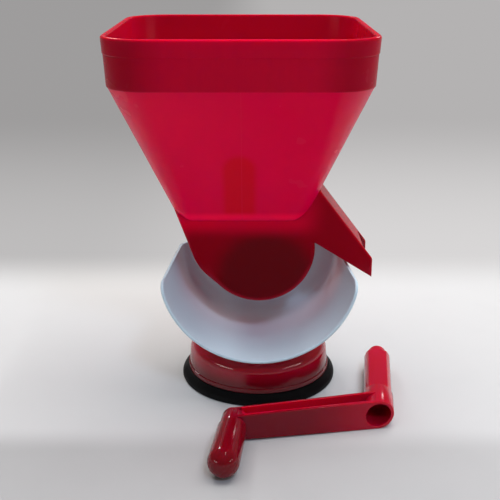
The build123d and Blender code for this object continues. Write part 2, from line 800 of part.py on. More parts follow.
def grip():
    """Tapered turning grip with a domed end."""
    start = grip_start()
    bore = grip_pin_radius + running_gap
    dome = grip_length - grip_end_radius
    head = grip_pin_length - grip_pin_head_height - face_gap
    pocket = grip_pin_head_radius + face_gap
    pocket_end = grip_pin_length + face_gap
    dome_middle = (grip_end_radius * math.sin(math.pi / 4), dome + grip_end_radius * math.cos(math.pi / 4))
    edges = [
        Line((bore, 0), (grip_start_radius, 0)),
        Line((grip_start_radius, 0), (grip_end_radius, dome)),
        ThreePointArc((grip_end_radius, dome), dome_middle, (0, grip_length)),
        Line((0, grip_length), (0, pocket_end)),
        Line((0, pocket_end), (pocket, pocket_end)),
        Line((pocket, pocket_end), (pocket, head)),
        Line((pocket, head), (bore, head)),
        Line((bore, head), (bore, 0)),
    ]
    profile = make_face(edges)
    profile = fillet(profile.vertices().sort_by_distance((grip_start_radius, 0, 0))[0], grip_edge_round)
    body = revolve(profile, Axis.Y)
    return on_table(Pos(-crank_reach, start, 0) * Rot(0, 0, 180) * body)


NODES = {
    "hopper": hopper,
    "drum_housing": drum_housing,
    "back_cover": back_cover,
    "cover_screws": cover_screws,
    "bearing_bush": bearing_bush,
    "thrust_washer": thrust_washer,
    "drum_core": drum_core,
    "drum_front_disc": lambda: drum_disc(drum_front_y),
    "drum_rear_disc": lambda: drum_disc(drum_back_y - disc_thickness),
    "drum_shell": drum_shell,
    "stand_tray": stand_tray,
    "stand_screws": stand_screws,
    "foot_screws": foot_screws,
    "base_cap": base_cap,
    "suction_cup": suction_cup,
    "plunger": plunger,
    "cam_shaft": cam_shaft,
    "cam_clip": cam_clip,
    "suction_lever": suction_lever,
    "lever_screw": lever_screw,
    "crank_arm": crank_arm,
    "grip_pin": grip_pin,
    "grip": grip,
}

os.makedirs("parts", exist_ok=True)
for node, make in NODES.items():
    made = make()
    solids = made if isinstance(made, list) else [made]
    export_step(Compound(children=solids) if len(solids) > 1 else solids[0], f"parts/{node}.step")
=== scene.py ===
"""Looks of a hand-cranked drum grater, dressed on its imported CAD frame."""

import logging
import math
from dataclasses import dataclass
from enum import Enum
from functools import cached_property
from typing import Any

import bmesh
import bpy
from mathutils import Matrix, Vector


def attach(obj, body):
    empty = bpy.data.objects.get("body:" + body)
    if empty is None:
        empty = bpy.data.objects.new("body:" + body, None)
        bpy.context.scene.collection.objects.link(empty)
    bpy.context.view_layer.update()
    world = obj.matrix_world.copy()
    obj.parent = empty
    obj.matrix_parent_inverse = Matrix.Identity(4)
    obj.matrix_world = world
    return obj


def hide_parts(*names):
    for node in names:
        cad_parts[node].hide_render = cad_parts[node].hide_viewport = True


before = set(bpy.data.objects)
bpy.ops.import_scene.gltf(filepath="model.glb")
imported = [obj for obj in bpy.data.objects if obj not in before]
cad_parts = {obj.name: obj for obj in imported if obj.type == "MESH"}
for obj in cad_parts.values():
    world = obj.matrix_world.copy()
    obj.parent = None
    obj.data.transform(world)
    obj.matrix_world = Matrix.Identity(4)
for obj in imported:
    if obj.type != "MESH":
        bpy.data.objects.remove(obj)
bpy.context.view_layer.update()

Socket = bpy.types.NodeSocket
Material = bpy.types.Material
Object = bpy.types.Object
Shape = bmesh.types.BMesh
Edge = bmesh.types.BMEdge
Pair = tuple[float, float]
Triple = tuple[float, float, float]
Profile = tuple[Pair, ...]
Rounds = tuple[tuple[int, float], ...]

LOG = logging.getLogger("grater")
MM = 0.001
MERGE = 0.0005
SOFT_ANGLE = math.radians(32)
CORNER_ANGLE = 60.0
CORNER_STEPS = 12
ROUND_STEPS = 8
BAR_STEPS = 96
TURN_STEPS = 144
LEAN_BACK = Matrix.Rotation(math.radians(-90), 4, "X")
LEAN_FORWARD = Matrix.Rotation(math.radians(90), 4, "X")

# Places that shapes and finishes share, in millimetres
AXIS_Z = 106.5
HOPPER_X = -12.1
LEDGE_Z = 229.5
CRANK_PLACE = (81.0, -88.2, 10.6)
CRANK_TURN = -6.8

# Node settings that come back
COLOURS = {"data_type": "RGBA"}
SMOOTH = {"interpolation_type": "SMOOTHSTEP"}
SMOOTHER = {"interpolation_type": "SMOOTHERSTEP"}
FRONT_PLANE = (1.0, 0.0, 1.0)


class Slot(Enum):
    """Material slots of the record."""

    RED = "red_plastic"
    WHITE = "white_plastic"
    RUBBER = "black_rubber"


class Weld(Enum):
    """Ways to bring two closed shapes together."""

    ADD = "UNION"
    CUT = "DIFFERENCE"
    KEEP = "INTERSECT"


class Soft(Enum):
    """What a round is laid on."""

    EDGES = "EDGES"
    CORNERS = "VERTICES"


def linear(colour: str) -> tuple[float, float, float, float]:
    """Turns an sRGB hex colour to linear light.

    Args:
        colour: Six hex digits after a hash.

    Returns:
        Red, green, blue and an alpha of 1.
    """
    parts = [int(colour[i : i + 2], 16) / 255 for i in (1, 3, 5)]
    light = [p / 12.92 if p <= 0.04045 else ((p + 0.055) / 1.055) ** 2.4 for p in parts]
    return light[0], light[1], light[2], 1.0


@dataclass(frozen=True)
class NodeNet:
    """Node tree in the making, with the places that its patterns hang on."""

    tree: bpy.types.NodeTree

    @cached_property
    def place(self) -> Socket:
        """Object coordinates."""
        return self.add("TexCoord")["Object"]

    @cached_property
    def axes(self) -> Any:
        """Object coordinates one by one, under X, Y and Z."""
        return self.add("SeparateXYZ", (self.place,))

    def add(self, kind: str, inputs: dict | tuple = (), **settings: Any) -> Any:
        """Adds one shader node with its settings, values and links.

        Args:
            kind: Node type without its common prefix.
            inputs: Plain values or feeding sockets, by input name or in the inputs' order.
            settings: Attributes of the node.

        Returns:
            The outputs of the new node.
        """
        node = self.tree.nodes.new("ShaderNode" + kind)
        for name, value in settings.items():
            setattr(node, name, value)
        keyed = inputs if isinstance(inputs, dict) else dict(enumerate(inputs))
        for key, value in keyed.items():
            if isinstance(value, Socket):
                self.tree.links.new(value, node.inputs[key])
            else:
                node.inputs[key].default_value = value
        return node.outputs


# Finishes


@dataclass(frozen=True)
class Finish:
    """One material of the scene."""

    name: str

    def surface(self, net: NodeNet) -> Socket:
        """Wires the shader; every finish has its own."""
        raise NotImplementedError

    def build(self) -> Material:
        """Makes the material.

        Returns:
            The material with its nodes wired.
        """
        material = bpy.data.materials.new(self.name)
        material.use_nodes = True
        material.node_tree.nodes.clear()
        net = NodeNet(material.node_tree)
        net.add("OutputMaterial", {"Surface": self.surface(net)})
        return material


@dataclass(frozen=True)
class MouldedPlastic(Finish):
    """Injection-moulded polypropylene: glossy, lets light through where it is thin."""

    colour: str
    shade: str
    roughness: float = 0.2
    smudge: float = 0.1
    smudge_size: float = 30 * MM
    smudge_span: Pair = (0.3, 0.8)
    smudge_detail: float = 3.0
    glow: float = 1.0
    glow_depth: float = 4.0 * MM
    glow_tint: Triple = (1.0, 0.1, 0.14)
    gloss: float = 0.16
    mottle: float = 60 * MM
    mottle_detail: float = 2.0
    peel: float = 1.6 * MM
    peel_height: float = 0.01 * MM
    peel_share: float = 0.5
    peel_detail: float = 2.0
    ior: float = 1.49

    def tint(self, net: NodeNet) -> Socket:
        """Colour of the surface, with slow cloudy flow marks.

        Args:
            net: Node tree of the material.

        Returns:
            The colour socket.
        """
        cloud = {"Vector": net.place, "Scale": 1 / self.mottle, "Detail": self.mottle_detail}
        share = net.add("TexNoise", cloud)["Fac"]
        tones = {"Factor": share, "A": linear(self.colour), "B": linear(self.shade)}
        return net.add("Mix", tones, **COLOURS)["Result"]

    def surface(self, net: NodeNet) -> Socket:
        """Wires the shader.

        Args:
            net: Node tree of the material.

        Returns:
            The shader socket.
        """
        smear = {"Vector": net.place, "Scale": 1 / self.smudge_size, "Detail": self.smudge_detail}
        wear_and_shade = net.add("TexNoise", smear)["Fac"]
        span = (wear_and_shade, *self.smudge_span, self.roughness, self.roughness + self.smudge)
        grain = {"Vector": net.place, "Scale": 1 / self.peel, "Detail": self.peel_detail}
        height = net.add("TexNoise", grain)["Fac"]
        lift = {"Height": height, "Strength": self.peel_share, "Distance": self.peel_height}
        look = {
            "Base Color": self.tint(net),
            "Roughness": net.add("MapRange", span)["Result"],
            "IOR": self.ior,
            "Specular IOR Level": self.gloss,
            "Subsurface Weight": self.glow,
            "Subsurface Radius": self.glow_tint,
            "Subsurface Scale": self.glow_depth,
            "Normal": net.add("Bump", lift)["Normal"],
        }
        return net.add("BsdfPrincipled", look)["BSDF"]


@dataclass(frozen=True)
class HopperPlastic(MouldedPlastic):
    """Red polypropylene of the hopper: painted light makes the funnel pink, painted shade dims the
    collar's corners and back.
    """

    collar: str = "#CC0634"
    collar_shade: str = "#A80424"
    # corner and rear: painted shade at the collar's corners and behind
    corner: Pair = (40 * MM, 78 * MM)
    rear: Pair = (-70 * MM, -20 * MM)
    # patch: painted shade on the funnel's front
    patch: str = "#CE0026"
    patch_x: float = -13.6 * MM
    patch_top: float = 172 * MM
    patch_edge: Pair = (8.25 * MM, 13.75 * MM)
    # foot: painted light, a bright band along the funnel's foot
    foot: str = "#F8044E"
    foot_fade: Pair = (131 * MM, 137 * MM)
    line: str = "#D8284E"
    line_x: float = -12.0 * MM
    line_width: float = 0.35 * MM
    line_share: float = 0.6
    streak: float = 4 * MM
    streak_squash: float = 0.05
    streak_share: float = 0.3
    streak_detail: float = 3.0

    def painted_shade_patch(self, net: NodeNet) -> Socket:
        """Painted shade: an upright patch with a round head on the funnel's front.

        Args:
            net: Node tree of the material.

        Returns:
            The socket, 1 in the patch.
        """
        aside = net.add("Math", (net.axes["X"], self.patch_x), operation="SUBTRACT")[0]
        over = net.add("Math", (net.axes["Z"], self.patch_top), operation="SUBTRACT")[0]
        over = net.add("Math", (over, 0.0), operation="MAXIMUM")[0]
        reach = net.add("CombineXYZ", (aside, over))[0]
        away = net.add("VectorMath", (reach,), operation="LENGTH")["Value"]
        return net.add("MapRange", (away, *self.patch_edge, 1.0, 0.0), **SMOOTH)["Result"]

    def funnel(self, net: NodeNet) -> Socket:
        """Colour of the funnel, with its patch of painted shade, a bright band of painted light at
        its foot, and its mould line.

        Args:
            net: Node tree of the material.

        Returns:
            The colour socket.
        """
        front = net.add("Math", (net.axes["Y"], 0.0), operation="LESS_THAN")[0]
        inside = (self.painted_shade_patch(net), front)
        patch = net.add("Math", inside, operation="MULTIPLY")[0]
        low = net.add("MapRange", (net.axes["Z"], *self.foot_fade, 1.0, 0.0), **SMOOTH)["Result"]
        seam = (net.axes["X"], self.line_x, self.line_width / 2)
        seam = net.add("Math", seam, operation="COMPARE")[0]
        for factor in (front, self.line_share):
            seam = net.add("Math", (seam, factor), operation="MULTIPLY")[0]
        colour = super().tint(net)
        for share, tone in ((patch, self.patch), (low, self.foot), (seam, self.line)):
            layer = {"Factor": share, "A": colour, "B": linear(tone)}
            colour = net.add("Mix", layer, **COLOURS)["Result"]
        return colour

    def streaked(self, net: NodeNet) -> Socket:
        """Colour of the collar, streaked upright, with painted shade at its corners and behind.

        Args:
            net: Node tree of the material.

        Returns:
            The colour socket.
        """
        size = (1 / self.streak, 1 / self.streak, self.streak_squash / self.streak)
        stretch = net.add("Mapping", {"Vector": net.place, "Scale": size})[0]
        flow = {"Vector": stretch, "Scale": 1.0, "Detail": self.streak_detail}
        streaks = net.add("TexNoise", flow)["Fac"]
        aside = net.add("Math", (net.axes["X"], HOPPER_X * MM), operation="SUBTRACT")[0]
        aside = net.add("Math", (aside,), operation="ABSOLUTE")[0]
        corner = net.add("MapRange", (aside, *self.corner), **SMOOTH)["Result"]
        rear = net.add("MapRange", (net.axes["Y"], *self.rear), **SMOOTH)["Result"]
        dim = net.add("Math", (corner, rear), operation="MAXIMUM")[0]
        sums = (streaks, self.streak_share, dim)
        dim = net.add("Math", sums, operation="MULTIPLY_ADD", use_clamp=True)[0]
        tones = {"Factor": dim, "A": linear(self.collar), "B": linear(self.collar_shade)}
        return net.add("Mix", tones, **COLOURS)["Result"]

    def tint(self, net: NodeNet) -> Socket:
        """Colour of the funnel, and above the ledge that of the collar.

        Args:
            net: Node tree of the material.

        Returns:
            The colour socket.
        """
        above = net.add("Math", (net.axes["Z"], LEDGE_Z * MM), operation="GREATER_THAN")[0]
        parts = {"Factor": above, "A": self.funnel(net), "B": self.streaked(net)}
        return net.add("Mix", parts, **COLOURS)["Result"]


@dataclass(frozen=True)
class PaintedLightPlastic(MouldedPlastic):
    """Red polypropylene with painted light: brighter towards one end."""

    # head: painted light at the bright end
    head: str = "#DC0634"
    axis: str = "Z"
    fade: Pair = (112 * MM, 129 * MM)

    def share(self, net: NodeNet) -> Socket:
        """How far painted light brightens the surface, 1 at its bright end."""
        span = (net.axes[self.axis], *self.fade)
        return net.add("MapRange", span, **SMOOTHER)["Result"]

    def ground(self, net: NodeNet) -> Socket:
        """Colour of the wall away from its bright end."""
        return super().tint(net)

    def tint(self, net: NodeNet) -> Socket:
        """Colour of the wall, brightened by painted light towards one end."""
        tones = {"Factor": self.share(net), "A": self.ground(net), "B": linear(self.head)}
        return net.add("Mix", tones, **COLOURS)["Result"]


@dataclass(frozen=True)
class HousingPlastic(PaintedLightPlastic):
    """Red polypropylene of the housing, with painted shade in deep maroon where the drum stands
    behind the wall.
    """

    # deep: painted shade over the drum; edge: painted light along the round lower edge
    deep: str = "#741018"
    deep_middle: Triple = (5 * MM, 0.0, 84 * MM)
    deep_edge: Pair = (27 * MM, 44 * MM)
    edge: str = "#A01426"
    edge_middle: Triple = (0.0, 0.0, AXIS_Z * MM)
    edge_from: Pair = (35.5 * MM, 38.5 * MM)
    edge_top: Pair = (90 * MM, 98 * MM)
    spout: Pair = (25 * MM, 50 * MM)

    def away(self, net: NodeNet, middle: Triple, span: Pair) -> Socket:
        """Steps up over a round line about a point of the front wall.

        Args:
            net: Node tree of the material.
            middle: The point.
            span: Distances at which the step starts and ends.

        Returns:
            The socket, 0 inside and 1 outside.
        """
        flat = net.add("VectorMath", (net.place, FRONT_PLANE), operation="MULTIPLY")[0]
        reach = net.add("VectorMath", (flat, middle), operation="DISTANCE")["Value"]
        return net.add("MapRange", (reach, *span), **SMOOTH)["Result"]

    def share(self, net: NodeNet) -> Socket:
        """Painted light, 1 under the hopper and none on the spout."""
        inner = net.add("MapRange", (net.axes["X"], *self.spout, 1.0, 0.0), **SMOOTH)["Result"]
        return net.add("Math", (super().share(net), inner), operation="MULTIPLY")[0]

    def ground(self, net: NodeNet) -> Socket:
        """Colour of the wall, with painted shade over the drum and painted light along the round
        lower edge.

        Args:
            net: Node tree of the material.

        Returns:
            The colour socket.
        """
        clear = self.away(net, self.deep_middle, self.deep_edge)
        tones = {"Factor": clear, "A": linear(self.deep), "B": super().ground(net)}
        wall = net.add("Mix", tones, **COLOURS)["Result"]
        rim = self.away(net, self.edge_middle, self.edge_from)
        under = (net.axes["Z"], *self.edge_top, 1.0, 0.0)
        under = net.add("MapRange", under, **SMOOTH)["Result"]
        rim = net.add("Math", (rim, under), operation="MULTIPLY")[0]
        tones = {"Factor": rim, "A": wall, "B": linear(self.edge)}
        return net.add("Mix", tones, **COLOURS)["Result"]


@dataclass(frozen=True)
class CrankPlastic(PaintedLightPlastic):
    """Red polypropylene of the crank, with painted light in its hollows where light gets through
    the walls.
    """

    # hollow: painted light in bore and pocket
    hollow: str = "#C00A2C"
    hub: Triple = tuple(size * MM for size in CRANK_PLACE)
    hub_turn: float = math.radians(CRANK_TURN)
    bore_radius: float = 8.7 * MM
    bore_depth: float = 24 * MM
    arm: Triple = (82 * MM, -80.3 * MM, 10.6 * MM)
    arm_turn: float = math.radians(11.0)
    pocket_middle: float = -53 * MM
    pocket_half: float = 42 * MM
    pocket_deep: float = 5.6 * MM

    def hollows(self, net: NodeNet) -> Socket:
        """Whether a point lies in the hub's bore or between the arm's two walls.

        Args:
            net: Node tree of the material.

        Returns:
            The socket, 1 in a hollow.
        """
        spots = ((self.hub, self.hub_turn), (self.arm, self.arm_turn))
        hub, arm = (
            net.add("Mapping", (net.place, spot, (0, 0, turn)), vector_type="TEXTURE")[0]
            for spot, turn in spots
        )
        flat = net.add("VectorMath", (hub, FRONT_PLANE), operation="MULTIPLY")[0]
        reach = net.add("VectorMath", (flat,), operation="LENGTH")["Value"]
        near = net.add("Math", (reach, self.bore_radius), operation="LESS_THAN")[0]
        deep = net.add("SeparateXYZ", (hub,))["Y"]
        ahead = net.add("Math", (deep, self.bore_depth), operation="LESS_THAN")[0]
        axes = net.add("SeparateXYZ", (arm,))
        length = (axes["X"], self.pocket_middle, self.pocket_half)
        along = net.add("Math", length, operation="COMPARE")[0]
        depth = (axes["Y"], 0.0, self.pocket_deep)
        between = net.add("Math", depth, operation="COMPARE")[0]
        bore, pocket = (
            net.add("Math", pair, operation="MULTIPLY")[0]
            for pair in ((near, ahead), (along, between))
        )
        return net.add("Math", (bore, pocket), operation="MAXIMUM")[0]

    def ground(self, net: NodeNet) -> Socket:
        """Colour of the wall, with painted light in pocket and bore."""
        tones = {"Factor": self.hollows(net), "A": super().ground(net), "B": linear(self.hollow)}
        return net.add("Mix", tones, **COLOURS)["Result"]


@dataclass(frozen=True)
class Rubber(MouldedPlastic):
    """Moulded nitrile rubber: nearly black and matte, with a fine dusty bloom."""

    roughness: float = 0.5
    smudge: float = 0.2
    smudge_size: float = 12 * MM
    glow: float = 0.0
    gloss: float = 0.12
    peel: float = 0.8 * MM
    peel_height: float = 0.03 * MM
    ior: float = 1.52


@dataclass(frozen=True)
class Steel(Finish):
    """Plain steel sheet and screws: grey metal with fine rolling lines."""

    colour: str = "#B4B6BA"
    shade: str = "#8E9094"
    roughness: float = 0.3
    wear: float = 0.2
    line: float = 0.9 * MM
    line_squash: float = 0.1
    line_detail: float = 4.0
    line_share: float = 0.3
    line_height: float = 0.02 * MM

    def surface(self, net: NodeNet) -> Socket:
        """Wires the shader.

        Args:
            net: Node tree of the material.

        Returns:
            The shader socket.
        """
        along = self.line_squash / self.line
        size = {"Vector": net.place, "Scale": (along, 1 / self.line, along)}
        stretch = net.add("Mapping", size)[0]
        rolled = {"Vector": stretch, "Scale": 1.0, "Detail": self.line_detail}
        lines = net.add("TexNoise", rolled)["Fac"]
        tones = {"Factor": lines, "A": linear(self.colour), "B": linear(self.shade)}
        rough = {"To Min": self.roughness, "To Max": self.roughness + self.wear}
        lift = {"Height": lines, "Strength": self.line_share, "Distance": self.line_height}
        look = {
            "Base Color": net.add("Mix", tones, **COLOURS)["Result"],
            "Metallic": 1.0,
            "Roughness": net.add("MapRange", {"Value": lines, **rough})["Result"],
            "Normal": net.add("Bump", lift)["Normal"],
        }
        return net.add("BsdfPrincipled", look)["BSDF"]


# Mesh tools, in millimetres


def merge(bm: Shape) -> None:
    """Joins vertices that meet."""
    bmesh.ops.remove_doubles(bm, verts=bm.verts[:], dist=MERGE)


def face_out(bm: Shape) -> None:
    """Turns all faces outwards."""
    bmesh.ops.recalc_face_normals(bm, faces=bm.faces[:])


def soften(
    bm: Shape, parts: list, width: float, steps: int = 3, kind: Soft = Soft.EDGES
) -> None:
    """Rounds edges or corners.

    Args:
        bm: Mesh to work on.
        parts: Edges or corner vertices to round.
        width: How far from the edge or corner the round starts.
        steps: Segments of the round.
        kind: Whether edges or corners are rounded.
    """
    bmesh.ops.bevel(
        bm,
        geom=parts,
        offset=width,
        offset_type="OFFSET",
        segments=steps,
        profile=0.5,
        affect=kind.value,
        clamp_overlap=False,
        material=-1,
    )


def sharp_edges(bm: Shape, angle: float = CORNER_ANGLE) -> list[Edge]:
    """Edges whose faces turn by more than an angle in degrees."""
    limit = math.radians(angle)
    return [e for e in bm.edges if e.is_manifold and e.calc_face_angle(0.0) > limit]


def trim(bm: Shape, point: Vector, way: Vector) -> None:
    """Cuts away what lies beyond a plane.

    Args:
        bm: Mesh to cut.
        point: A point of the plane.
        way: Direction of what is cut away.
    """
    whole = bm.verts[:] + bm.edges[:] + bm.faces[:]
    bmesh.ops.bisect_plane(bm, geom=whole, plane_co=point, plane_no=way, clear_outer=True)


def turned(points: Profile, rounds: Rounds = ()) -> Shape:
    """Turns a profile about the Z axis.

    Args:
        points: Radius and height of each corner, from axis to axis or back to the start.
        rounds: Numbers of corners with the radius of their round.

    Returns:
        The closed turned shape.
    """
    bm = bmesh.new()
    corners = [bm.verts.new((radius, 0, height)) for radius, height in points]
    for ends in zip(corners, corners[1:]):
        bm.edges.new(ends)
    for index, radius in rounds:
        soften(bm, [corners[index]], radius, ROUND_STEPS, Soft.CORNERS)
    bmesh.ops.spin(
        bm,
        geom=bm.verts[:] + bm.edges[:],
        cent=(0, 0, 0),
        axis=(0, 0, 1),
        angle=math.tau,
        steps=TURN_STEPS,
        use_merge=True,
    )
    merge(bm)
    face_out(bm)
    return bm


def round_bar(
    radius: float, low: float, high: float, soft: float = 0.0, x: float = 0.0, z: float = 0.0
) -> Shape:
    """Round bar along Y.

    Args:
        radius: Radius of the bar.
        low: Front end.
        high: Back end.
        soft: Width of the softened edges at its ends.
        x: Place of its axis across.
        z: Height of its axis.

    Returns:
        The closed bar.
    """
    bm = bmesh.new()
    bmesh.ops.create_cone(
        bm,
        cap_ends=True,
        segments=BAR_STEPS,
        radius1=radius,
        radius2=radius,
        depth=high - low,
        matrix=Matrix.Translation((0, (low + high) / 2, 0)) @ LEAN_BACK,
    )
    if soft:
        soften(bm, sharp_edges(bm), soft)
    bmesh.ops.translate(bm, vec=(x, 0, z), verts=bm.verts[:])
    return bm


def in_scene(name: str, data: bpy.types.ID) -> Object:
    """Puts a mesh, lamp or camera in the scene.

    Args:
        name: The object's name.
        data: What it shows.

    Returns:
        The object.
    """
    obj = bpy.data.objects.new(name, data)
    bpy.context.scene.collection.objects.link(obj)
    return obj


def as_object(bm: Shape, name: str) -> Object:
    """Turns a bmesh to an object in the scene.

    Args:
        bm: Mesh, freed here.
        name: The object's name.

    Returns:
        The object.
    """
    mesh = bpy.data.meshes.new(name)
    bm.to_mesh(mesh)
    bm.free()
    return in_scene(name, mesh)


def as_shape(obj: Object) -> Shape:
    """Turns an object, removed here, to a bmesh.

    Args:
        obj: Object that is used up.

    Returns:
        Its mesh.
    """
    bm = bmesh.new()
    bm.from_mesh(obj.data)
    bpy.data.objects.remove(obj)
    return bm


def settle(obj: Object) -> None:
    """Works an object's modifiers into its mesh.

    Args:
        obj: Object with modifiers.
    """
    graph = bpy.context.evaluated_depsgraph_get()
    mesh = bpy.data.meshes.new_from_object(obj.evaluated_get(graph))
    obj.modifiers.clear()
    obj.data = mesh


def weld(main: Object, other: Shape, how: Weld) -> None:
    """Joins a second closed shape to the first, or cuts it away.

    Args:
        main: Object that is kept.
        other: Shape that is used up.
        how: Whether it is added, cut away or only what both share is kept.
    """
    tool = as_object(other, "tool")
    step = main.modifiers.new("weld", "BOOLEAN")
    step.operation = how.value
    step.solver = "EXACT"
    step.object = tool
    settle(main)
    bpy.data.objects.remove(tool)


def hand_over(obj: Object, body: str, slot: Slot, material: Material, *nodes: str) -> None:
    """Scales a finished shape to metres and fixes it to the frame.

    Args:
        obj: Object modelled in millimetres.
        body: Body that it rides on.
        slot: Material slot of the record; not used.
        material: Its finish.
        nodes: CAD nodes that it stands for.
    """
    bm = bmesh.new()
    bm.from_mesh(obj.data)
    merge(bm)
    bmesh.ops.scale(bm, vec=(MM, MM, MM), verts=bm.verts[:])
    for face in bm.faces:
        face.smooth = True
        face.material_index = 0
    for edge in bm.edges:
        edge.smooth = edge.calc_face_angle(0.0) < SOFT_ANGLE
    bm.to_mesh(obj.data)
    bm.free()
    obj.data.name = obj.name
    obj.data.materials.clear()
    obj.data.materials.append(material)
    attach(obj, body)
    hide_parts(*nodes)
    LOG.info("%s: %d faces on %s", obj.name, len(obj.data.polygons), body)


def dress(material: Material, *nodes: str) -> None:
    """Gives CAD nodes a finish.

    Args:
        material: The finish.
        nodes: Names of the nodes.
    """
    for node in nodes:
        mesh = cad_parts[node].data
        mesh.materials.clear()
        mesh.materials.append(material)
        LOG.info("%s dressed in %s", node, material.name)


# Sub-assemblies


@dataclass(frozen=True)
class Hopper:
    """Square funnel with a straight collar, in one moulding."""

    seam_z: float = 128.6
    rim_z: float = 261.0
    rim: Triple = (86.9, 88.6, 30.0)
    throat: Triple = (45.7, 22.0, 11.0)
    draft: float = 1.8
    ledge: float = 0.6
    ledge_gap: float = 0.1
    ledge_under: float = 0.5
    ledge_over: float = 0.6
    ledge_flare: float = 0.2
    ledge_tuck: float = 0.15
    wall: float = 2.5
    knee: Pair = (1.0, 1.5)
    band: float = 11.0
    band_proud: float = 0.44
    band_step: Pair = (0.2, 0.3)
    lip: float = 1.5
    lip_steps: int = 5
    bore_radius: float = 37.7
    bore_half: float = 19.5

    def funnel(self, z: float, inset: float = 0.0) -> Triple:
        """Half sizes and corner of the funnel's section.

        Args:
            z: Height of the section.
            inset: How far it is drawn in.

        Returns:
            Half width, half depth and corner radius.
        """
        share = (z - self.seam_z) / (LEDGE_Z - self.seam_z)
        inward = self.draft + self.ledge
        pairs = zip(self.throat, self.rim)
        sizes = [low + share * (top - inward - low) - inset for low, top in pairs]
        return sizes[0], sizes[1], sizes[2]

    def collar(self, z: float, inset: float = 0.0) -> Triple:
        """Half sizes and corner of the collar's section.

        Args:
            z: Height of the section.
            inset: How far it is drawn in.

        Returns:
            Half width, half depth and corner radius.
        """
        inward = self.draft * (self.rim_z - z) / (self.rim_z - LEDGE_Z) + inset
        return self.rim[0] - inward, self.rim[1] - inward, self.rim[2] - inward

    def sections(self) -> list[tuple[float, Triple]]:
        """Lists the rings from the outer seam over the rim to the inner seam.

        Returns:
            Height and sizes of each ring.
        """
        seam, rim, proud = self.seam_z, self.rim_z, -self.band_proud
        under, over = LEDGE_Z - self.ledge_under, LEDGE_Z + self.ledge_over
        band_z = rim - self.band
        outside = [
            (seam, self.funnel(seam)),
            (under, self.funnel(under)),
            (LEDGE_Z - self.ledge_gap, self.funnel(LEDGE_Z, -self.ledge_flare)),
            (LEDGE_Z + self.ledge_gap, self.collar(LEDGE_Z, self.ledge_tuck)),
            (over, self.collar(over)),
            (band_z - self.band_step[0], self.collar(band_z)),
            (band_z + self.band_step[1], self.collar(band_z, proud)),
        ]
        inner = self.wall + self.ledge
        inside = []
        for step in range(self.lip_steps + 1):
            turn = math.radians(90 * step / self.lip_steps)
            down, back = self.lip * (1 - math.sin(turn)), self.lip * (1 - math.cos(turn))
            outside.append((rim - down, self.collar(rim, proud + back)))
            inside.append((rim - back, self.collar(rim, inner - down)))
        below = LEDGE_Z - self.knee[1]
        inside += [
            (LEDGE_Z + self.knee[0], self.collar(LEDGE_Z, inner)),
            (below, self.funnel(below, self.wall)),
            (seam, self.funnel(seam, self.wall)),
        ]
        return outside + inside

    def ring(self, bm: Shape, z: float, sizes: Triple) -> list[Edge]:
        """Draws one rounded square.

        Args:
            bm: Mesh that gets the ring.
            z: Height of the ring.
            sizes: Half width, half depth and corner radius.

        Returns:
            The edges of the ring.
        """
        before = set(bm.edges)
        verts = bmesh.ops.create_grid(bm, x_segments=1, y_segments=1, size=1)["verts"]
        bmesh.ops.scale(bm, vec=(sizes[0], sizes[1], 1), verts=verts)
        bmesh.ops.translate(bm, vec=(HOPPER_X, 0, z), verts=verts)
        soften(bm, verts, sizes[2], CORNER_STEPS, Soft.CORNERS)
        edges = [e for e in bm.edges if e not in before]
        lids = list({f for e in edges for f in e.link_faces})
        bmesh.ops.delete(bm, geom=lids, context="FACES_ONLY")
        return edges

    def build(self, finish: Material) -> None:
        """Models the hopper and fixes it on the stand.

        Args:
            finish: Its plastic.
        """
        bm = bmesh.new()
        rings = [self.ring(bm, z, sizes) for z, sizes in self.sections()]
        for first, second in zip(rings, rings[1:] + rings[:1]):
            bmesh.ops.bridge_loops(bm, edges=first + second)
        face_out(bm)
        obj = as_object(bm, "hopper_moulding")
        room = round_bar(self.bore_radius, -self.bore_half, self.bore_half, z=AXIS_Z)
        weld(obj, room, Weld.CUT)
        hand_over(obj, "stand", Slot.RED, finish, "hopper")


